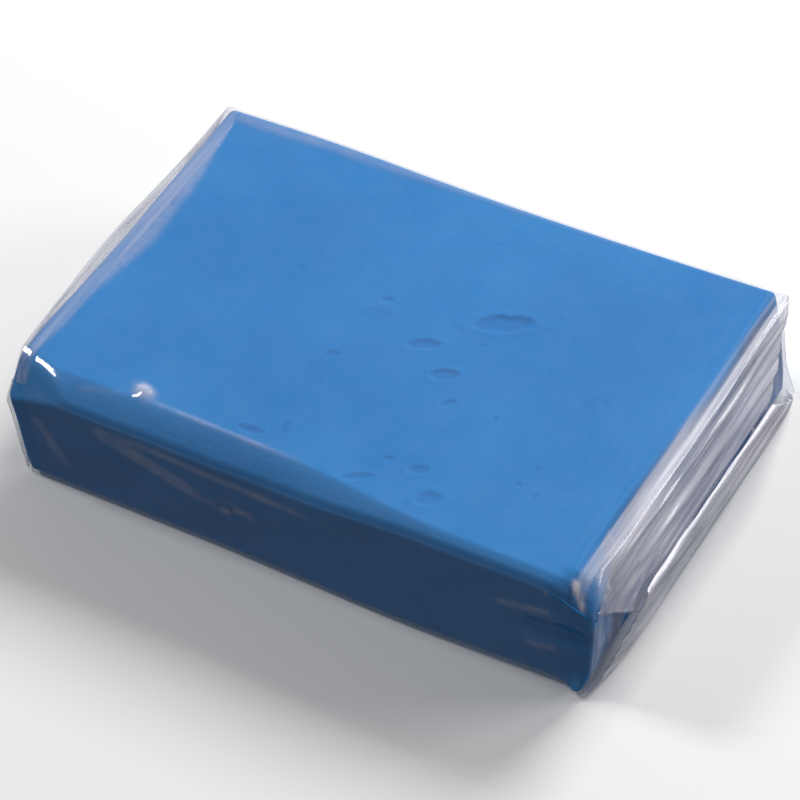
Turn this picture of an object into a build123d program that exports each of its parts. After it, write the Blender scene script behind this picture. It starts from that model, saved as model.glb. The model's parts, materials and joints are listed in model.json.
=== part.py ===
"""Detailing clay bar in a clear film overwrap, built in millimetres with +Z up.

The block lies on its largest face with its length along X. Its film is one sheet wrapped round the four long
faces, lapped along the underside, and folded over both ends like a parcel: the front and back tucks lie flat on
the clay, the top flap comes down over them, and the bottom flap comes up last, outside the top flap. The film is
divided at its creases, because each flap turns on its crease as on a hinge. The origin is at the bottom centre.
"""

from build123d import *
import os
from math import cos, radians, sin

# Overall sizes of the wrapped block
BLOCK_LENGTH = 94.0
WRAP_WIDTH = 62.0
WRAP_HEIGHT = 21.4

# Film: the real film is about 0.04 mm, and this thicker skin stands in for it
FILM = 0.2

# Clay block edges
CORNER_RADIUS = 2.4
EDGE_RADIUS = 1.2

# End folds: how far the film ran past the block before it was folded, and where its creases lie
FOLD_LENGTH = 12.0
TOP_CREASE_OUT = 2.3
BOTTOM_CREASE_OUT = 2.8
TOP_FLAP_LEAN = 7.0
BOTTOM_FLAP_LEAN = 14.0
CREASE_GAP = 0.15
GUSSET_GAP = 0.45
SIDE_CLEARANCE = 0.1

# Lap seam along the underside: the two film edges overlap by this much, either side of the middle
LAP_OVERLAP = 16.0

# Sizes worked out from the driving ones
BOTTOM_FILM = 2 * FILM
HALF_LENGTH = BLOCK_LENGTH / 2
HALF_WIDTH = WRAP_WIDTH / 2
CLAY_WIDTH = WRAP_WIDTH - 2 * FILM
CLAY_HEIGHT = WRAP_HEIGHT - FILM - BOTTOM_FILM
CLAY_TOP = WRAP_HEIGHT - FILM
TOP_CREASE_Z = WRAP_HEIGHT - FILM / 2
BOTTOM_CREASE_Z = FILM

ENDS = {"right": 1, "left": -1}
SIDES = {"front": -1, "back": 1}


def save(piece, name):
    """Label a finished piece and write it as its own STEP file."""
    piece.part.label = name
    export_step(piece.part, f"parts/{name}.step")


def clay_block():
    """The clay itself: one solid block with rounded corners and softened edges."""
    with BuildPart() as block:
        with BuildSketch(Plane.XY.offset(BOTTOM_FILM)):
            RectangleRounded(BLOCK_LENGTH, CLAY_WIDTH, CORNER_RADIUS)
        extrude(amount=CLAY_HEIGHT)
        level_faces = block.faces().filter_by(Axis.Z)
        fillet(level_faces.edges(), EDGE_RADIUS)
    return block


def level_panel(length, y_from, y_to, z_from):
    """A flat sheet of film parallel to the block's top, from one Y to another, lying on z_from."""
    with BuildPart() as panel:
        with BuildSketch(Plane.XY.offset(z_from)):
            with Locations((0, (y_from + y_to) / 2)):
                Rectangle(length, y_to - y_from)
        extrude(amount=FILM)
    return panel


def side_panel(side):
    """The film on the front or back long face."""
    with BuildPart() as panel:
        with BuildSketch(Plane.XY.offset(BOTTOM_FILM)):
            with Locations((0, side * (HALF_WIDTH - FILM / 2))):
                Rectangle(BLOCK_LENGTH, FILM)
        extrude(amount=CLAY_HEIGHT)
    return panel


def end_tuck(end, side):
    """The front or back film folded flat against the clay's end."""
    with BuildPart() as tuck:
        with BuildSketch(Plane.XY.offset(BOTTOM_FILM)):
            with Locations((end * (HALF_LENGTH + FILM / 2), side * (HALF_WIDTH - FOLD_LENGTH / 2))):
                Rectangle(FILM, FOLD_LENGTH)
        extrude(amount=CLAY_HEIGHT)
    return tuck


def end_flap(end, crease_out, crease_z, lean, rise):
    """A top or bottom flap, leaning out from its crease, with the gussets folded under its two corners.

    rise is 1 where the flap stands up from its crease, and -1 where it hangs down. The flap narrows at 45
    degrees, because its corners are folded back, and there the film lies double on the inner side.
    """
    base = HALF_WIDTH - SIDE_CLEARANCE
    tip = base - FOLD_LENGTH
    along = Vector(end * sin(radians(lean)), 0, rise * cos(radians(lean)))
    across = Vector(0, 1, 0)
    outward = Vector(end * cos(radians(lean)), 0, -rise * sin(radians(lean)))
    crease = Vector(end * (HALF_LENGTH + crease_out), 0, crease_z)
    sheet = Plane(origin=crease - outward * (FILM / 2), x_dir=across, z_dir=outward)
    up = 1 if sheet.y_dir.dot(along) > 0 else -1
    with BuildPart() as flap:
        with BuildSketch(sheet):
            with BuildLine():
                Polyline(
                    (-base + CREASE_GAP, up * CREASE_GAP),
                    (base - CREASE_GAP, up * CREASE_GAP),
                    (tip, up * FOLD_LENGTH),
                    (-tip, up * FOLD_LENGTH),
                    close=True,
                )
            make_face()
        extrude(amount=FILM)
        for side in SIDES.values():
            with BuildSketch(sheet):
                with BuildLine():
                    Polyline(
                        (side * (base - GUSSET_GAP), up * GUSSET_GAP),
                        (side * tip, up * GUSSET_GAP),
                        (side * tip, up * FOLD_LENGTH),
                        close=True,
                    )
                make_face()
            extrude(amount=-FILM)
    return flap


os.makedirs("parts", exist_ok=True)

save(clay_block(), "clay_block")

# Sleeve: the film on the four long faces. The top and underside run out to the creases of the end flaps.
top_length = BLOCK_LENGTH + 2 * (TOP_CREASE_OUT - CREASE_GAP)
bottom_length = BLOCK_LENGTH + 2 * (BOTTOM_CREASE_OUT - CREASE_GAP)
save(level_panel(top_length, -HALF_WIDTH, HALF_WIDTH, CLAY_TOP), "top_panel")
save(level_panel(bottom_length, -HALF_WIDTH, LAP_OVERLAP / 2, FILM), "bottom_inner_panel")
save(level_panel(bottom_length, -LAP_OVERLAP / 2, HALF_WIDTH, 0), "bottom_lap_panel")
for side_name, side in SIDES.items():
    save(side_panel(side), f"{side_name}_panel")

# End folds, the same at both ends
for end_name, end in ENDS.items():
    for side_name, side in SIDES.items():
        save(end_tuck(end, side), f"{end_name}_{side_name}_tuck")
    save(end_flap(end, TOP_CREASE_OUT, TOP_CREASE_Z, TOP_FLAP_LEAN, -1), f"{end_name}_top_flap")
    save(end_flap(end, BOTTOM_CREASE_OUT, BOTTOM_CREASE_Z, BOTTOM_FLAP_LEAN, 1), f"{end_name}_bottom_flap")
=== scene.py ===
"""Looks for the clay bar in its clear film: the clay's surface, the wrinkled film and its folded ends.

Lengths in the shaping code are in millimetres, and meshes are written in metres. X runs along the bar, -Y is
its front, and Z is up. The sleeve, the end flaps and the tucks are one sheet of film on the real object.
"""

import json
from math import cos, pi, radians, sin, sqrt

import bmesh
import bpy
import numpy as np
from mathutils import Matrix, Vector


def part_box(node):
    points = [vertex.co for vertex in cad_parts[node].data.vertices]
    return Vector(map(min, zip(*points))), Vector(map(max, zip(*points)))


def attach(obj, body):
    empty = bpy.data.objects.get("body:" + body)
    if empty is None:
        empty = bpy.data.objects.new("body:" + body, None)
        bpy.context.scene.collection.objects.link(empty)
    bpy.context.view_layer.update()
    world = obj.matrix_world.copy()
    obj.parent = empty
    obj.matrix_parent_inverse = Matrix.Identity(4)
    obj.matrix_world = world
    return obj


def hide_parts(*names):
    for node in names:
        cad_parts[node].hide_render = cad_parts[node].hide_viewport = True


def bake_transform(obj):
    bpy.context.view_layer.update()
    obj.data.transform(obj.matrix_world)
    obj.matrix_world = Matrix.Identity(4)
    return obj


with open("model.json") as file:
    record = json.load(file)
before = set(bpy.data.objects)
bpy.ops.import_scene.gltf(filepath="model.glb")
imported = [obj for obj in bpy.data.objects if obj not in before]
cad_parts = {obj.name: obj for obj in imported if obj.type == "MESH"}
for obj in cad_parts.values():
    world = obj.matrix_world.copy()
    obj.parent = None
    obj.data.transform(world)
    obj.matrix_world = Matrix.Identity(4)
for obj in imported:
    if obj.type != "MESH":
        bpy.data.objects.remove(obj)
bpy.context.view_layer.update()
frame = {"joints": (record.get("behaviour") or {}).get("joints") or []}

MM = 0.001
BLOCK = "wrapped_block"
END_NAMES = {1: "right", -1: "left"}
SIDE_NAMES = {-1: "front", 1: "back"}

# The clay's box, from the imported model
CLAY_LOW, CLAY_HIGH = (np.array(corner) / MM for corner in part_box("clay_block"))
HALF = (CLAY_HIGH - CLAY_LOW) / 2
CENTRE = (CLAY_HIGH + CLAY_LOW) / 2
TOP = CLAY_HIGH[2]
BASE = CLAY_LOW[2]

# Clay edges: the front shoulder is a gentle slope, widest on the left half, that ends in a tight turn
EDGE_RADIUS = 1.0
SHOULDER_WIDTH = 4.7
SHOULDER_DROP = 2.25

# Flats pressed into the left front top corner: outward direction, depth below the corner, softness of rim
PRESSED_FLATS = [
    ((-0.107, -0.335, 0.936), 2.05, 0.10),
    ((-0.20, -0.67, 0.72), 3.55, 0.22),
]

# Near its front the clay's right end leans out by END_LEAN, up to a brow this far below the top
BROW_DEPTH = 3.4
END_LEAN = 3.5

# Film round the block
FILM_GAP = 0.08
LAP_LAYER = 0.22
ROOT_START = HALF[0] - 3.0
SINK_LENGTH = 3.8

# Folded ends. A flap's film starts to turn START_BACK before its crease, with a radius of about ROLL, and its
# free edge is FREE_EDGE_OUT past the clay. A bottom flap's free edge curls inwards along its rim.
FOLD_LENGTH = 12.0
START_BACK = 0.42
ROLL = {(1, "top"): 1.1, (1, "bottom"): 0.45, (-1, "top"): 0.45, (-1, "bottom"): 0.45}
FREE_EDGE_OUT = {"top": 4.1, "bottom": 5.6}
GUSSET_GAP = 0.25
RIM_LENGTH = 1.3
RIM_RADIUS = 0.95
TUCK_GAP = 0.15

# How milky the film looks: lying tight on the clay, on small folds (partly painted light on their ridges), in
# the tucks, and in each end's flaps
TIGHT_VEIL = 0.028
FOLD_VEIL_AND_RIDGE_LIGHT = 0.24
TUCK_VEIL = 0.26
FLAP_VEIL = {-1: 0.45, 1: 0.65}
BOTTOM_FLAP_SHARE = 1.25
GUSSET_SHARE = 0.4

# Mesh spacing: over the faces, and finer within a margin of the block's edges
CLAY_STEP = 0.36
CLAY_EDGE_STEP = 0.26
CLAY_MARGIN = 5.2
SIDE_STEP = 0.5
FILM_STEP = 0.6
FILM_EDGE_STEP = 0.3
FILM_MARGIN = 5.4
UNDER_STEP = 0.8
STRIP_ROWS = 15
FLAP_COLUMNS = 131
GUSSET_COLUMNS = 25


def smooth(low, high, value):
    """0 below low, 1 above high, and an even S-curve between them."""
    t = np.clip((value - low) / (high - low), 0, 1)
    return t * t * (3 - 2 * t)


def bell(distance, width):
    """1 at no distance, falling smoothly to almost nothing at twice the width."""
    return np.exp(-((distance / width) ** 2))


def waves(u, v, size, seed, count=7):
    """Gentle unevenness of about -1 to 1: crossed sine waves of roughly that size, in seeded directions."""
    draw = np.random.default_rng(seed)
    total = np.zeros(np.broadcast(u, v).shape)
    for _ in range(count):
        turn, phase = draw.uniform(0, 2 * pi, 2)
        length = size * draw.uniform(0.6, 1.7)
        total += np.sin((u * cos(turn) + v * sin(turn)) * 2 * pi / length + phase)
    return total / sqrt(count)


def crease(u, v, start, end, height, width):
    """A ridge along the line from start to end that fades at both ends. A negative height is a furrow."""
    a, b = np.array(start, float), np.array(end, float)
    reach = np.linalg.norm(b - a)
    along = (b - a) / reach
    s = ((u - a[0]) * along[0] + (v - a[1]) * along[1]) / reach
    across = (u - a[0]) * -along[1] + (v - a[1]) * along[0]
    return height * bell(across, width) * smooth(-0.02, 0.15, s) * (1 - smooth(0.6, 1.02, s))


def steps(low, high, step, fine=None, margin=0.0):
    """Evenly spaced values from low to high, with finer ones within margin of both ends."""
    if fine is None:
        return np.linspace(low, high, max(2, round((high - low) / step) + 1))
    ends = round(margin / fine)
    middle = round((high - low - 2 * margin) / step)
    return np.concatenate(
        [
            np.linspace(low, low + margin, ends, endpoint=False),
            np.linspace(low + margin, high - margin, middle, endpoint=False),
            np.linspace(high - margin, high, ends + 1),
        ]
    )


# ---------------------------------------------------------------- the block's form


def shoulder(x, y, z):
    """How far the front shoulder slopes down at a point, from its inner line to the block's front edge."""
    right = smooth(-5, 30, x)
    width = SHOULDER_WIDTH - 2.6 * right
    drop = (SHOULDER_DROP - 1.3 * right) * smooth(-45, -35, x)
    inwards = y + HALF[1]
    slope = np.clip((width - inwards) / width, 0, 1) ** 1.25
    return drop * slope * smooth(BASE + 4, TOP, z)


def sideways_shift(x, y, z):
    """How far the block's surface is moved along Y.

    Its back bows, its front bellies low down and has a dent, and its right front foot spreads.
    """
    bow = 0.45 * bell(x - 12, 30) - 0.55 * bell(x + 34, 24)
    bow *= smooth(6, HALF[1], y) * smooth(BASE - 8, TOP, z)
    belly = 0.7 * bell(x - 17, 20) * (1 - smooth(BASE, TOP - 4, z)) * (1 - smooth(-HALF[1], -14, y))
    front = (1 - smooth(-HALF[1], -HALF[1] + 3, y)) * smooth(BASE, BASE + 3, z)
    uneven = 0.12 * waves(x, z * 1.6, 26, seed=9)
    dent = crease(x, z - BASE, (50, 12.0), (35, 9.6), 1.0, 2.0)
    foot = (1 - smooth(-HALF[1], -HALF[1] + 4, y)) * (1 - smooth(BASE, BASE + 4, z))
    spread = 1.5 * foot * bell(x - HALF[0] - 0.4, 2.0)
    return front * (uneven + dent) - bow - belly - spread


def upward_shift(x, y, z):
    """How far the block's surface is moved along Z.

    Its top is uneven, lower along the back edge, and slopes down at the front shoulder and right corner.
    """
    high = smooth(TOP - 5, TOP, z)
    uneven = 0.09 * waves(x, y, 38, seed=4)
    back_edge = 0.2 * bell(x - 12, 36) * smooth(12, HALF[1], y)
    corner = 2.0 * smooth(43, 49, x) * (1 - smooth(-HALF[1], -26.5, y))
    return high * (uneven - back_edge - corner) - shoulder(x, y, z)


def press_flat(points, flat, grow):
    """Press one flat into the left front top corner, as a thumb would."""
    normal, depth, soft = flat
    normal = np.array(normal) / np.linalg.norm(normal)
    corner = np.array([-HALF[0], -HALF[1], TOP])
    beyond = (points - corner) @ normal + depth - grow
    push = soft * np.logaddexp(0, beyond / soft)
    return points - push[:, None] * normal


def form(points, grow=0.0, film=False):
    """Move points of the ideal box onto the block's real surface, standing off it by grow.

    For film, the box's ends don't count, so that the film runs on past them as a tube.
    """
    grow = np.broadcast_to(grow, len(points))
    p = points - CENTRE
    core = HALF - EDGE_RADIUS
    inner = np.clip(p, -core, core)
    if film:
        inner[:, 0] = p[:, 0]
    away = p - inner
    length = np.linalg.norm(away, axis=1)
    out = inner + away / length[:, None] * (EDGE_RADIUS + grow)[:, None] + CENTRE
    x, y, z = points.T
    out[:, 1] += sideways_shift(x, y, z)
    out[:, 2] += upward_shift(x, y, z)
    for flat in PRESSED_FLATS:
        out = press_flat(out, flat, grow)
    return out


def end_swell(end, y, z):
    """How far the clay's cut end swells outwards at a point, most near the right end's front corner."""
    middle = smooth(BASE - 3, BASE + 6, z) * (1 - smooth(TOP - 7, TOP + 0.5, z))
    upper = smooth(TOP - 12, TOP, z)
    if end > 0:
        edge_wave = 0.8 * bell(y - 10, 9) - 0.5 * bell(y + 18, 8)
        front = 1 - smooth(-HALF[1], -12, y)
        brow = TOP - BROW_DEPTH
        height = np.clip((z - BASE) / (brow - BASE), 0, 1)
        leaning = END_LEAN * np.sqrt(height) * (1 - smooth(brow, TOP + 0.2, z))
        return front * leaning + (1 - front) * 0.5 * middle + edge_wave * upper
    bulge = 0.2 + 0.3 * smooth(-30, -10, y)
    lip = 0.35 * smooth(-2, 24, y) + 0.4 * bell(y + 20, 8)
    return bulge * middle + lip * upper


# Shallow hollows in the clay's top, left by trapped air: x, y, length, width, turn and depth
HOLLOWS = [
    (14.5, 8.5, 9.4, 3.6, 24, 0.26),
    (6.0, 0.3, 5.2, 2.2, 25, 0.20),
    (11.8, -3.6, 4.6, 2.3, 24, 0.22),
    (15.0, -8.0, 2.8, 1.3, 45, 0.16),
    (13.7, 3.5, 1.2, 1.0, 25, 0.12),
    (-3.5, -22.0, 2.6, 1.7, 110, 0.14),
    (-8.0, -24.4, 4.6, 1.5, 5, 0.20),
    (12.7, -20.7, 2.1, 1.3, 30, 0.14),
    (17.6, -20.7, 3.5, 1.8, 25, 0.16),
    (10.8, -25.2, 5.0, 1.4, 30, 0.16),
    (21.7, -24.6, 4.4, 2.8, 25, 0.15),
    (31.7, -17.1, 1.3, 0.9, 10, 0.14),
    (34.8, -18.1, 1.2, 1.0, 25, 0.14),
    (32.6, -13.7, 0.9, 0.9, 25, 0.12),
    (-5.0, -7.0, 2.4, 1.5, 25, 0.12),
    (-3.4, 5.6, 2.2, 1.2, 20, 0.15),
    (-3.6, 2.2, 5.0, 3.2, 30, 0.07),
    (-23.2, 0.5, 1.1, 1.4, 20, 0.10),
    (22.5, -7.9, 1.1, 1.0, 25, 0.12),
]

# Where small pits crowd together: x, y, spread across the bar, spread along it, and how many
PIT_PATCHES = [(33.0, -0.2, 1.3, 2.6, 16), (0.0, 0.0, 24.0, 40.0, 90)]


def all_hollows():
    """The hollows, and many small pits scattered over the top in two patches."""
    draw = np.random.default_rng(12)
    pits = []
    for x, y, wide, long, count in PIT_PATCHES:
        for _ in range(count):
            place = np.clip(draw.normal((x, y), (long / 1.6, wide / 1.6)), (-42, -25), (42, 27))
            pits.append((*place, draw.uniform(0.5, 1.3), draw.uniform(0.4, 0.8), draw.uniform(0, 180), 0.07))
    return HOLLOWS + pits


def hollow_depth(x, y):
    """How deep the hollows are at a point of the top, and how near the point is to a hollow's rim."""
    depth, rim = np.zeros(len(x)), np.zeros(len(x))
    ragged = waves(x, y, 2.2, seed=5)
    for cx, cy, long, wide, turn, deep in all_hollows():
        a = radians(turn)
        u = ((x - cx) * cos(a) + (y - cy) * sin(a)) * 2 / long
        v = (-(x - cx) * sin(a) + (y - cy) * cos(a)) * 2 / wide
        r = np.sqrt(u**2 + v**2) * (1 + 0.10 * ragged)
        steeper_behind = 0.62 + 0.38 * np.clip(v, -1, 1)
        depth = np.maximum(depth, deep * steeper_behind * (1 - smooth(0.62, 1.12, r)))
        rim = np.maximum(rim, deep * bell(r - 1.12, 0.22))
    return depth, rim


# ---------------------------------------------------------------- mesh helpers


def mesh_object(name, points, faces, attributes=None):
    """A smooth-shaded mesh object from points in millimetres, with one float attribute per name."""
    mesh = bpy.data.meshes.new(name)
    mesh.from_pydata((np.asarray(points) * MM).tolist(), [], faces)
    for label, values in (attributes or {}).items():
        layer = mesh.attributes.new(label, "FLOAT", "POINT")
        layer.data.foreach_set("value", np.asarray(values, np.float32))
    bm = bmesh.new()
    bm.from_mesh(mesh)
    bmesh.ops.remove_doubles(bm, verts=bm.verts, dist=1e-6)
    bmesh.ops.dissolve_degenerate(bm, edges=bm.edges, dist=1e-7)
    bm.to_mesh(mesh)
    bm.free()
    mesh.shade_smooth()
    piece = bpy.data.objects.new(name, mesh)
    bpy.context.scene.collection.objects.link(piece)
    return piece


def grid_faces(rows, columns, first=0, flip=False):
    """The quads of a grid whose points are listed row by row from index first."""
    quads = []
    for i in range(rows - 1):
        for j in range(columns - 1):
            a = first + i * columns + j
            quad = (a, a + 1, a + columns + 1, a + columns)
            quads.append(quad[::-1] if flip else quad)
    return quads


def box_side(axis, sign, us, vs):
    """Points of one side of the ideal box on a grid of us by vs, and whether its quads turn outwards."""
    u, v = np.meshgrid(us, vs, indexing="ij")
    level = np.full(u.size, CENTRE[axis] + sign * HALF[axis])
    columns = [u.ravel(), v.ravel()]
    columns.insert(axis, level)
    outward = (sign > 0) == (axis != 1)
    return np.stack(columns, 1), outward


# ---------------------------------------------------------------- clay


def make_clay():
    """The clay block: a closed rounded box with its top hollows, swollen ends and pressed corner."""
    xs = steps(CLAY_LOW[0], CLAY_HIGH[0], CLAY_STEP, CLAY_EDGE_STEP, CLAY_MARGIN)
    ys = steps(CLAY_LOW[1], CLAY_HIGH[1], CLAY_STEP, CLAY_EDGE_STEP, CLAY_MARGIN)
    zs = steps(BASE, TOP, SIDE_STEP, CLAY_EDGE_STEP, CLAY_MARGIN)
    spans = {0: (ys, zs), 1: (xs, zs), 2: (xs, ys)}
    points, faces = [], []
    count = 0
    for axis, (us, vs) in spans.items():
        for sign in (-1, 1):
            side, outward = box_side(axis, sign, us, vs)
            faces += grid_faces(len(us), len(vs), count, flip=not outward)
            points.append(side)
            count += len(side)
    ideal = np.concatenate(points)
    shaped = form(ideal)
    x, y, z = ideal.T
    for end in (-1, 1):
        near_end = smooth(HALF[0] - 7, HALF[0], end * x)
        shaped[:, 0] += end * near_end * end_swell(end, y, z)
    on_top = smooth(TOP - 0.2, TOP, z)
    depth, rim = hollow_depth(x, y)
    shaped[:, 2] += on_top * (0.3 * rim - depth)
    # The hollow attribute marks where the clay's material paints shade into the hollows.
    return mesh_object("clay", shaped, faces, {"hollow": on_top * smooth(0, 0.12, depth)})


# ---------------------------------------------------------------- film


def top_lift(x, y):
    """How far the film is loose over the clay's top: in strips along the left end and the back edge."""
    ragged = 0.8 * waves(x, y, 13, seed=21)
    left_width = 2.3 + 3.3 * bell(y - 3, 17) + 0.35 * ragged
    left = 1 - smooth(0.72, 1.02, (x + HALF[0]) / left_width)
    back_width = 0.9 + 2.4 * (1 - smooth(-46, 30, x)) + 0.2 * ragged
    back = 0.6 * (1 - smooth(0.6, 1.1, (HALF[1] - y) / back_width))
    return np.maximum(left, back)


# Folds of the film on the front and back faces: both ends as (x, height), how far they stand out, and width
FRONT_FOLDS = [
    ((-33, 19), (-9, 9), 0.30, 1.9),
    ((-30, 19.2), (16, 16.5), 0.22, 1.1),
    ((-43, 15), (-37, 2), 0.20, 1.6),
    ((46, 16.2), (33, 13), 0.35, 0.7),
    ((48, 8.2), (37, 6.2), 0.25, 0.8),
    ((43.2, 20.4), (48, 17.2), 0.30, 0.40),
]
BACK_FOLDS = [
    ((-45, 18), (-12, 7), 0.30, 1.3),
    ((-44, 12), (-30, 2), 0.22, 1.2),
    ((45, 17), (22, 12), 0.32, 0.9),
    ((46, 9), (30, 3.5), 0.24, 1.0),
    ((8, 19), (-20, 16), 0.20, 1.0),
]


def face_folds(folds, x, height):
    """How far the listed folds of a face stand out, and how milky the film is on them, which also paints
    light on their ridges.
    """
    stand_out = sum(crease(x, height, *fold) for fold in folds)
    return stand_out, FOLD_VEIL_AND_RIDGE_LIGHT * smooth(0.02, 0.24, stand_out)


def front_blotch(x, height):
    """How milky the film is in a ragged patch on the front face."""
    ragged = smooth(-0.8, 0.6, waves(x, height, 2.6, seed=8))
    return 0.5 * bell(x + 8.5, 3.2) * bell(height - 10.6, 1.9) * ragged


def bubble(x, y):
    """A small tent of film over trapped air, with a flat slope towards the front."""
    forwards = -0.34 * x - 0.94 * y
    sideways = 0.94 * x - 0.34 * y
    return 0.72 * np.interp(forwards, [-2.4, -0.9, 0.9, 1.3], [0, 1, 0.03, 0]) * bell(sideways, 1.5)


def shoulder_ridges(x, y):
    """Fine film creases where the top meets the shoulder, with a small bubble near the left. Their height
    also sets a painted highlight in the film's veil.
    """
    return (
        crease(x, y, (-25, -25.9), (5, -26.6), 0.16, 0.4)
        + crease(x, y, (-36, -28.2), (-27, -25.9), 0.05, 0.5)
        + bubble(x + 26.0, y + 25.6)
    )


def drop_at(end, y):
    """How far the film has sunk below the top's level by the time it reaches an end's top crease."""
    if end > 0:
        return 0.3 + 1.1 * (1 - smooth(4, 29, y))
    return 1.4 + 0.9 * bell(y, 14)


def clear_corner(y):
    """1 at an end's front corner, where the film past the clay is clear, and 0 from 12 mm behind it."""
    return 1 - smooth(-30, -19, y)


def past_end_veil(x, y):
    """How milky the film on top is where it runs on past the clay's ends, and a painted highlight on a crease
    at the right end's front corner.
    """
    out = x - HALF[0]
    right = 0.44 * smooth(-0.2, 0.4, out) * smooth(-30.4, -28.6, y)
    clear_front = 0.85 * smooth(1.5, 2.1, out) * clear_corner(y)
    clear_strip = 0.75 * smooth(-2, 12, y) * bell(out - 0.8, 0.7)
    left = 0.30 * smooth(HALF[0] - 0.4, HALF[0] + 0.5, -x) * (1 - clear_corner(y))
    # Painted highlight: a white line of veil along the crease at the right front corner.
    painted_corner_highlight = crease(x, y, (46.6, -28.2), (49.4, -30.8), 1.2, 0.40)
    return right * (1 - clear_front) * (1 - clear_strip) + left + painted_corner_highlight


def sleeve_surface(x, y, z, layer=0.0):
    """The film over a point of the ideal box's long faces or past its ends, and how milky it is there."""
    on_top = smooth(TOP - 0.2, TOP, z)
    loose = on_top * top_lift(x, y)
    front = (1 - smooth(-HALF[1], -HALF[1] + 0.2, y)) * (1 - on_top)
    back = smooth(HALF[1] - 0.2, HALF[1], y) * (1 - on_top)
    height = z - BASE
    front_folds, front_veil_and_light = face_folds(FRONT_FOLDS, x, height)
    back_folds, back_veil_and_light = face_folds(BACK_FOLDS, x, height)
    front_veil_and_light = front_veil_and_light + front_blotch(x, height)
    ridges_and_highlight = on_top * shoulder_ridges(x, y)
    stand_off = FILM_GAP + layer + 0.26 * loose + front * front_folds + back * back_folds + ridges_and_highlight
    points = form(np.stack([x, y, z], 1), stand_off, film=True)
    for end in (-1, 1):
        past = np.clip((end * x - HALF[0]) / SINK_LENGTH, 0, 1) ** 1.15
        points[:, 2] -= past * drop_at(end, y) * height / (TOP - BASE)
    # Milkiness of the film, plus a painted highlight on the shoulder creases and the bubble.
    veil = TIGHT_VEIL + 0.03 * front + 0.20 * loose + 1.1 * np.clip(ridges_and_highlight, 0, 0.4)
    for patch in (on_top * past_end_veil(x, y), back * back_veil_and_light, front * front_veil_and_light):
        veil = np.maximum(veil, patch)
    return points, np.clip(veil, 0, 1)


def film_path():
    """The film's way round the block, from the inner lap edge under it to the outer one: (y, z, layer)."""
    ys = steps(CLAY_LOW[1], CLAY_HIGH[1], FILM_STEP, FILM_EDGE_STEP, FILM_MARGIN)
    zs = steps(BASE, TOP, FILM_STEP, FILM_EDGE_STEP, FILM_MARGIN)
    inner_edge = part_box("bottom_inner_panel")[1].y / MM
    outer_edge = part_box("bottom_lap_panel")[0].y / MM
    under_front = steps(CLAY_LOW[1], inner_edge, UNDER_STEP)[::-1]
    under_back = steps(outer_edge, CLAY_HIGH[1], UNDER_STEP)[::-1]
    stretches = [
        (under_front, np.full(len(under_front), BASE), 0.0),
        (np.full(len(zs), CLAY_LOW[1]), zs, 0.0),
        (ys, np.full(len(ys), TOP), 0.0),
        (np.full(len(zs), CLAY_HIGH[1]), zs[::-1], 0.0),
        (under_back, np.full(len(under_back), BASE), LAP_LAYER),
    ]
    path = []
    for y, z, layer in stretches:
        ease = smooth(0, 6, np.arange(len(y)))
        path += [(a, b, layer * c) for a, b, c in zip(y, z, ease)]
    kept = [path[0]]
    for step in path[1:]:
        if abs(step[0] - kept[-1][0]) + abs(step[1] - kept[-1][1]) > 1e-6:
            kept.append(step)
    return np.array(kept)


def make_sleeve():
    """The film round the four long faces, lapped under the bar, up to where the end folds' strips start."""
    path = film_path()
    xs = steps(-ROOT_START, ROOT_START, FILM_STEP)
    x = np.repeat(xs, len(path))
    y, z, layer = np.tile(path, (len(xs), 1)).T
    points, veil = sleeve_surface(x, y, z, layer)
    faces = grid_faces(len(xs), len(path), flip=True)
    return mesh_object("film_sleeve", points, faces, {"veil": veil})


# ---------------------------------------------------------------- end folds


def hinge_place(flap):
    """Where a flap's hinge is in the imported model, in metres."""
    return next(joint for joint in frame["joints"] if joint["child"] == flap)["pos_m"]


def crease_out(end, which, y):
    """How far past the clay's end a flap's crease stands: about at its hinge, except at its corners."""
    out = abs(hinge_place(f"{END_NAMES[end]}_{which}_flap")[0]) / MM - HALF[0]
    if which == "bottom":
        at_corner, sharpness = (1.0, 12) if end > 0 else (0.4, 5)
        return at_corner + (out - at_corner) * (1 - (np.abs(y) / HALF[1]) ** sharpness)
    if end > 0:
        loose_corner = 1.9 * (1 - smooth(-HALF[1], -24, y))
        return out - 0.2 + loose_corner - 0.3 * smooth(6, 29, y)
    snug = 0.3 + 0.35 * smooth(-28, -14, y)
    return snug + (out - snug) * bell(y, 12)


def fold_stand(end, side, z):
    """How far past the clay's end the upright fold between the sleeve and a tuck stands, at a height."""
    height = np.clip((z - BASE) / (TOP - BASE), 0, 1)
    if end > 0 and side < 0:
        return 0.8 + 3.2 * height**0.6
    if end > 0:
        return 0.35 + 1.5 * (2 * height - 1) ** 2
    if side > 0:
        return 0.3 + 0.8 * (1 - smooth(0, 0.2, height)) + 0.9 * smooth(0.5, 1, height)
    return 0.2 + 0.15 * (1 - smooth(0, 0.2, height))


def flap_relief(d, y, seed):
    """How far a flap's film stands out of its flat shape: creases along the bar's end and finer crumples."""
    fade = smooth(0.4, 2.2, d)
    long_creases = (
        0.30 * bell(d - 3.1 - 0.03 * y, 0.35) * (1 - smooth(14, 24, np.abs(y + 4)))
        - 0.28 * bell(d - 5.2 + 0.02 * y, 0.7)
        + 0.26 * bell(d - 7.6 - 0.02 * y, 0.4) * (1 - smooth(10, 22, np.abs(y - 6)))
    )
    streaks = 0.10 * waves(d * 4.0, y * 0.35, 8, seed) + 0.05 * waves(d * 6.0, y * 0.8, 6, seed + 1)
    return fade * (long_creases + streaks)


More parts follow.
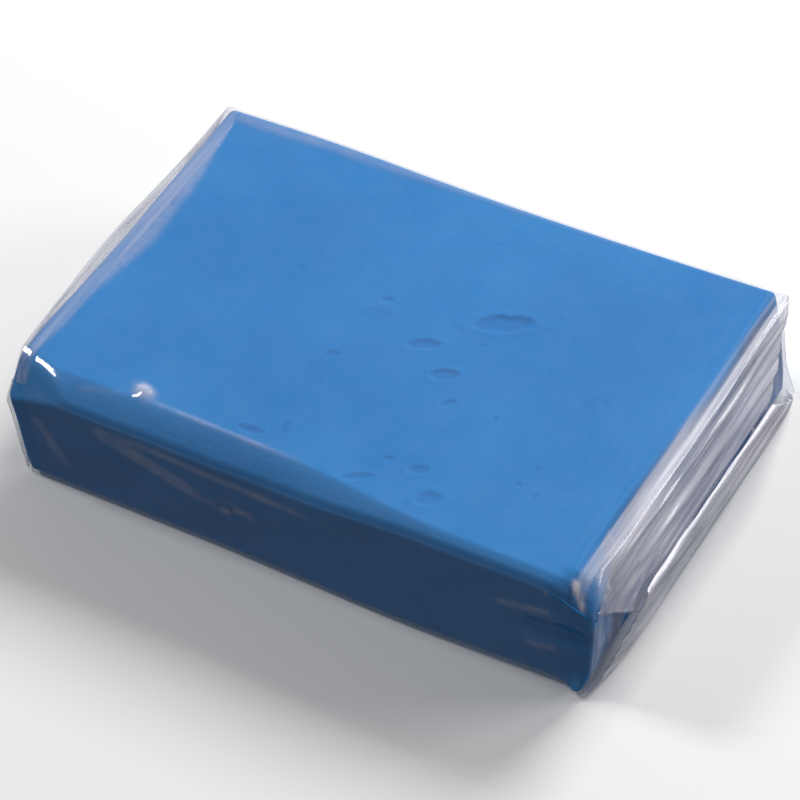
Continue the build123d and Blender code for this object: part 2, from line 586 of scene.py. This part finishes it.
def straighten_side(end, d, y, crease_height):
    """How far a top flap comes down near its slanted sides, which run straight from the crease's corners."""
    side = np.where(y < 0, -1.0, 1.0) * HALF[1]
    out = crease_out(end, "top", side)
    corner, _ = sleeve_surface(end * (HALF[0] + out - START_BACK), side, np.full(len(y), TOP))
    inwards = HALF[1] - d - np.abs(y)
    return (crease_height - corner[:, 2]) * (1 - smooth(0, 10, inwards)) * smooth(0, 3, d)


def flap_points(end, which, d, y, seed, layer=0.0):
    """Points of a flap at distances d from its crease, at places y along it."""
    rise = 1 if which == "bottom" else -1
    level = BASE if which == "bottom" else TOP
    out = crease_out(end, which, y)
    base_layer = LAP_LAYER if which == "bottom" else 0.0
    root, _ = sleeve_surface(end * (HALF[0] + out - START_BACK), y, np.full(len(y), level), base_layer)
    roll = ROLL[end, which]
    edge_out = FREE_EDGE_OUT[which]
    if which == "bottom" and end > 0:
        shorter_in_front = 0.2 * (1 - smooth(-28, -16, y))
        closer_in_front = 1.7 * (1 - smooth(-30, -19, y))
        d = d * (1 - shorter_in_front)
        edge_out = edge_out - closer_in_front
    lean = np.arcsin(np.clip((edge_out - out + START_BACK - roll) / FOLD_LENGTH, 0, 0.6))
    turned = roll * (1 - np.exp(-d / (0.8 * roll)))
    lift = flap_relief(d, y, seed) - layer
    if which == "bottom":
        rim = np.clip(d - FOLD_LENGTH + RIM_LENGTH, 0, None)
        lift -= RIM_RADIUS * (1 - np.cos(rim / RIM_RADIUS))
        d = d - rim + RIM_RADIUS * np.sin(rim / RIM_RADIUS)
    x = root[:, 0] + end * (np.sin(lean) * d + turned + np.cos(lean) * lift)
    z = root[:, 2] + rise * (np.cos(lean) * (d - turned) - np.sin(lean) * lift)
    if which == "top":
        z -= straighten_side(end, d, y, root[:, 2])
    return np.stack([x, root[:, 1], z], 1)


def flap_veil(end, which, d, y):
    """How milky a flap is at a distance from its crease. A top flap is clear near its front corner."""
    veil = FLAP_VEIL[end] * (1 + 0.15 * smooth(0, 28, y))
    if which == "top":
        return veil * (1 - 0.85 * clear_corner(y) * (1 - 0.3 * smooth(2, 10, d)))
    return veil * BOTTOM_FLAP_SHARE


def strip_places(end, reach):
    """Places along X of a strip's rows, from the sleeve's end up to but not including reach."""
    return [end * (ROOT_START + t * (reach - ROOT_START)) for t in np.linspace(0, 1, STRIP_ROWS)[:-1]]


def make_flap(end, which):
    """A top or bottom flap with the gussets folded under its corners, and the strip of sleeve before it."""
    node = f"{END_NAMES[end]}_{which}_flap"
    seed = {"top": 31, "bottom": 37}[which] + (6 if end < 0 else 0)
    level, layer = (TOP, 0.0) if which == "top" else (BASE, LAP_LAYER)
    half = HALF[1]
    across = np.linspace(-1, 1, FLAP_COLUMNS)
    rows, veil_rows = [], []
    for x in strip_places(end, HALF[0] + crease_out(end, which, across * half) - START_BACK):
        points, veil = sleeve_surface(x, across * half, np.full(FLAP_COLUMNS, level), layer)
        rows.append(points)
        veil_rows.append(veil)
    distances = np.concatenate([steps(0.0, 1.4, 0.14), steps(1.65, FOLD_LENGTH, 0.25)])
    for d in distances:
        y = across * (half - d)
        rows.append(flap_points(end, which, np.full(FLAP_COLUMNS, d), y, seed))
        veil_rows.append(flap_veil(end, which, d, y))
    flip = (end > 0) == (which == "top")
    faces = grid_faces(len(rows), FLAP_COLUMNS, 0, flip=flip)

    count = len(rows) * FLAP_COLUMNS
    for side in (-1, 1):
        for d in distances:
            inwards = np.linspace(0, 1, GUSSET_COLUMNS) * (FOLD_LENGTH - d)
            under = GUSSET_GAP * smooth(0, 0.8, inwards)
            y = side * (half - d - inwards)
            rows.append(flap_points(end, which, np.full(GUSSET_COLUMNS, d), y, seed, under))
            veil_rows.append(GUSSET_SHARE * flap_veil(end, which, d, y))
        faces += grid_faces(len(distances), GUSSET_COLUMNS, count, flip=flip == (side > 0))
        count += len(distances) * GUSSET_COLUMNS
    piece = mesh_object(f"film_{node}", np.concatenate(rows), faces, {"veil": np.concatenate(veil_rows)})
    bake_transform(piece)
    return piece


def make_tuck(end, side):
    """The front or back film: round the block's upright corner and then flat along the clay's end."""
    node = f"{END_NAMES[end]}_{SIDE_NAMES[side]}_tuck"
    zs = steps(BASE, TOP, SIDE_STEP, FILM_EDGE_STEP, FILM_MARGIN)
    stand = fold_stand(end, side, zs)
    rows, veil_rows = [], []
    for x in strip_places(end, HALF[0] + stand):
        points, veil = sleeve_surface(x, np.full(len(zs), side * HALF[1]), zs)
        rows.append(points)
        veil_rows.append(np.maximum(veil * 0.3, TIGHT_VEIL))
    fold_line, _ = sleeve_surface(end * (HALF[0] + stand), np.full(len(zs), side * HALF[1]), zs)
    for w in np.concatenate([steps(0.0, 1.2, 0.15), steps(1.5, FOLD_LENGTH, 0.35)]):
        y = side * (HALF[1] - w)
        resting = HALF[0] + TUCK_GAP + end_swell(end, y, zs)
        wrinkle = 0.10 * np.abs(waves(zs * 0.7, np.full(len(zs), w * 1.4), 9, seed=61 + side))
        wrinkle += 0.20 * bell(zs - BASE - 8 - 0.3 * w, 0.7)
        ahead = np.maximum(HALF[0] + stand - resting, 0) * (1 - smooth(0, 10, w))
        x = end * (resting + ahead + wrinkle * smooth(0, 3, w))
        straighter = smooth(0, FOLD_LENGTH, w)
        z = fold_line[:, 2] * (1 - straighter) + zs * straighter
        rows.append(np.stack([x, fold_line[:, 1] - side * w, z], 1))
        veil_rows.append(np.full(len(zs), TUCK_VEIL))
    flip = (end > 0) == (side > 0)
    faces = grid_faces(len(rows), len(zs), 0, flip=not flip)
    return mesh_object(f"film_{node}", np.concatenate(rows), faces, {"veil": np.concatenate(veil_rows)})


# ---------------------------------------------------------------- materials


def new_material(name):
    """An empty node material with its output, and a helper that adds nodes to it."""
    material = bpy.data.materials.new(name)
    material.use_nodes = True
    tree = material.node_tree
    tree.nodes.clear()
    output = tree.nodes.new("ShaderNodeOutputMaterial")

    def add(kind, **settings):
        node = tree.nodes.new(kind)
        for key, value in settings.items():
            if key in node.inputs:
                node.inputs[key].default_value = value
            else:
                setattr(node, key, value)
        return node

    return material, tree.links.new, add, output


def clay_material():
    """Blue detailing clay: matt and waxy, slightly mottled, with a fine grain, and painted shade darkening
    its hollows.
    """
    material, link, add, output = new_material("blue_clay")
    where = add("ShaderNodeTexCoord")
    patches = add("ShaderNodeTexNoise", Scale=38.0, Detail=4.0, Roughness=0.55)
    grain = add("ShaderNodeTexNoise", Scale=1400.0, Detail=3.0, Roughness=0.6)
    hollow = add("ShaderNodeAttribute", attribute_name="hollow")
    colour = add("ShaderNodeValToRGB")
    colour.color_ramp.elements[0].position = 0.3
    colour.color_ramp.elements[0].color = (0.018, 0.195, 0.520, 1)
    colour.color_ramp.elements[1].position = 0.72
    colour.color_ramp.elements[1].color = (0.027, 0.240, 0.590, 1)
    # Painted shade: the hollow mask multiplies the clay's colour darker in the hollows.
    darker = add("ShaderNodeMix", data_type="RGBA", blend_type="MULTIPLY")
    amount, base_colour, painted_hollow_shade = (darker.inputs[k] for k in (0, 6, 7))
    painted_hollow_shade.default_value = (0.78, 0.84, 0.90, 1)
    bump = add("ShaderNodeBump", Strength=0.25, Distance=0.0002)
    rough = add("ShaderNodeMapRange")
    rough.inputs["To Min"].default_value = 0.42
    rough.inputs["To Max"].default_value = 0.62
    skin = add("ShaderNodeBsdfPrincipled")
    skin.inputs["IOR"].default_value = 1.45
    skin.inputs["Specular IOR Level"].default_value = 0.15
    for texture in (patches, grain):
        link(where.outputs["Object"], texture.inputs["Vector"])
    link(patches.outputs["Fac"], colour.inputs["Fac"])
    link(hollow.outputs["Fac"], amount)
    link(colour.outputs["Color"], base_colour)
    link(darker.outputs[2], skin.inputs["Base Color"])
    link(grain.outputs["Fac"], bump.inputs["Height"])
    link(bump.outputs["Normal"], skin.inputs["Normal"])
    link(patches.outputs["Fac"], rough.inputs["Value"])
    link(rough.outputs["Result"], skin.inputs["Roughness"])
    link(skin.outputs["BSDF"], output.inputs["Surface"])
    return material


def film_material(name, streaks=(1, 1, 1), patch_scale=260.0, contrast=0.35):
    """Clear glossy film. Its veil attribute says how milky it is, and a noise makes that uneven.

    streaks scales the veil's pattern along each axis: a small number draws it out along that axis.
    contrast is how far the veil goes up and down from its amount.
    """
    material, link, add, output = new_material(name)
    where = add("ShaderNodeTexCoord")
    veil = add("ShaderNodeAttribute", attribute_name="veil")
    drawn_out = add("ShaderNodeMapping", Scale=streaks)
    cloud = add("ShaderNodeTexNoise", Scale=patch_scale, Detail=5.0, Roughness=0.6)
    wrinkle = add("ShaderNodeTexNoise", Scale=260.0, Detail=4.0, Roughness=0.5)
    patchy = add("ShaderNodeMath", operation="MULTIPLY", use_clamp=True)
    spread = add("ShaderNodeMapRange")
    spread.inputs["From Min"].default_value = 0.3
    spread.inputs["From Max"].default_value = 0.7
    spread.inputs["To Min"].default_value = 1 - contrast
    spread.inputs["To Max"].default_value = 1 + contrast
    bump = add("ShaderNodeBump", Strength=0.35, Distance=0.0001)
    clear = add("ShaderNodeBsdfTransparent")
    haze = add("ShaderNodeBsdfPrincipled", Roughness=0.55)
    haze.inputs["Base Color"].default_value = (0.78, 0.77, 0.85, 1)
    gloss = add("ShaderNodeBsdfGlossy", Roughness=0.10)
    facing = add("ShaderNodeLayerWeight", Blend=0.5)
    falloff = add("ShaderNodeMath", operation="POWER")
    falloff.inputs[1].default_value = 5.0
    mirror = add("ShaderNodeMapRange")
    mirror.inputs["To Min"].default_value = 0.06
    mirror.inputs["To Max"].default_value = 0.4
    body = add("ShaderNodeMixShader")
    surface = add("ShaderNodeMixShader")
    link(where.outputs["Object"], drawn_out.inputs["Vector"])
    link(drawn_out.outputs["Vector"], cloud.inputs["Vector"])
    link(where.outputs["Object"], wrinkle.inputs["Vector"])
    link(cloud.outputs["Fac"], spread.inputs["Value"])
    link(veil.outputs["Fac"], patchy.inputs[0])
    link(spread.outputs["Result"], patchy.inputs[1])
    link(wrinkle.outputs["Fac"], bump.inputs["Height"])
    for shader in (haze, gloss, facing):
        link(bump.outputs["Normal"], shader.inputs["Normal"])
    link(patchy.outputs[0], body.inputs["Fac"])
    link(clear.outputs[0], body.inputs[1])
    link(haze.outputs[0], body.inputs[2])
    link(facing.outputs["Facing"], falloff.inputs[0])
    link(falloff.outputs[0], mirror.inputs["Value"])
    link(mirror.outputs["Result"], surface.inputs["Fac"])
    link(body.outputs[0], surface.inputs[1])
    link(gloss.outputs[0], surface.inputs[2])
    link(surface.outputs[0], output.inputs["Surface"])
    return material


def floor_material():
    """A plain pale floor."""
    material, link, add, output = new_material("pale_floor")
    paint = add("ShaderNodeBsdfPrincipled", Roughness=0.9)
    paint.inputs["Base Color"].default_value = (0.86, 0.86, 0.85, 1)
    link(paint.outputs["BSDF"], output.inputs["Surface"])
    return material


# ---------------------------------------------------------------- stage


def make_camera():
    """The camera, at the photograph's viewing angle, held slightly tilted."""
    azimuth, elevation, roll = radians(38.7), radians(46.85), radians(10.17)
    distance, lens = 0.5077, 157.5
    target = Vector((0.0024, -0.0028, 0.0107))
    back = Vector((sin(azimuth) * cos(elevation), -cos(azimuth) * cos(elevation), sin(elevation)))
    level = Vector((cos(azimuth), sin(azimuth), 0))
    upright = back.cross(level)
    up = upright * cos(roll) + level * sin(roll)
    right = level * cos(roll) - upright * sin(roll)
    data = bpy.data.cameras.new("camera")
    data.lens = lens
    data.sensor_width = 36.0
    data.clip_start, data.clip_end = 0.01, 20
    camera = bpy.data.objects.new("camera", data)
    turned = Matrix((right, up, back)).transposed().to_4x4()
    camera.matrix_world = Matrix.Translation(target + back * distance) @ turned
    bpy.context.scene.collection.objects.link(camera)
    bpy.context.scene.camera = camera


def make_light(name, place, size, power):
    """A rectangular soft light at place, facing the block."""
    data = bpy.data.lights.new(name, "AREA")
    data.shape = "RECTANGLE"
    data.size, data.size_y = size
    data.energy = power
    block_middle = Vector((0, 0, 0.01))
    light = bpy.data.objects.new(name, data)
    light.location = place
    light.rotation_mode = "QUATERNION"
    light.rotation_quaternion = (block_middle - Vector(place)).to_track_quat("-Z", "Y")
    bpy.context.scene.collection.objects.link(light)


def make_stage():
    """A large pale floor just under the bar, four soft lights, and a dim even surround."""
    side, drop = 6.0, 0.0002
    corners = [(-side, -side, -drop), (side, -side, -drop), (side, side, -drop), (-side, side, -drop)]
    mesh = bpy.data.meshes.new("floor")
    mesh.from_pydata(corners, [], [(0, 1, 2, 3)])
    mesh.materials.append(floor_material())
    floor = bpy.data.objects.new("floor", mesh)
    bpy.context.scene.collection.objects.link(floor)
    floor.visible_diffuse = False
    floor.visible_glossy = False
    make_light("back", (0.13, 0.62, 0.52), (0.40, 0.30), 6.1)
    make_light("left", (-0.547, -0.05, 0.573), (0.16, 0.16), 2.2)
    make_light("right_end", (0.525, 0.374, 0.273), (0.30, 0.30), 1.75)
    make_light("low_back", (-0.60, 0.66, 0.26), (0.7, 0.3), 0.4)
    world = bpy.data.worlds.new("surround")
    world.use_nodes = True
    background = world.node_tree.nodes["Background"]
    background.inputs["Color"].default_value = (0.9, 0.93, 1.0, 1)
    background.inputs["Strength"].default_value = 0.16
    bpy.context.scene.world = world
    bpy.context.scene.view_settings.view_transform = "Standard"


# ---------------------------------------------------------------- assembly

make_camera()
make_stage()

clay = make_clay()
clay.data.materials.append(clay_material())
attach(clay, BLOCK)
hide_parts("clay_block")

tight_film = film_material("clear_film")
tucked_film = film_material("tucked_film", streaks=(1, 1, 0.12), patch_scale=500.0, contrast=0.8)
folded_film = film_material("folded_film", streaks=(1, 0.05, 1), patch_scale=600.0, contrast=0.65)

sleeve = make_sleeve()
sleeve.data.materials.append(tight_film)
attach(sleeve, BLOCK)
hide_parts("top_panel", "front_panel", "back_panel", "bottom_inner_panel", "bottom_lap_panel")

for end, end_name in END_NAMES.items():
    for side, side_name in SIDE_NAMES.items():
        tuck = make_tuck(end, side)
        tuck.data.materials.append(tucked_film)
        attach(tuck, BLOCK)
        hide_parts(f"{end_name}_{side_name}_tuck")
    for which in ("top", "bottom"):
        flap = make_flap(end, which)
        flap.data.materials.append(folded_film)
        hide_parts(f"{end_name}_{which}_flap")
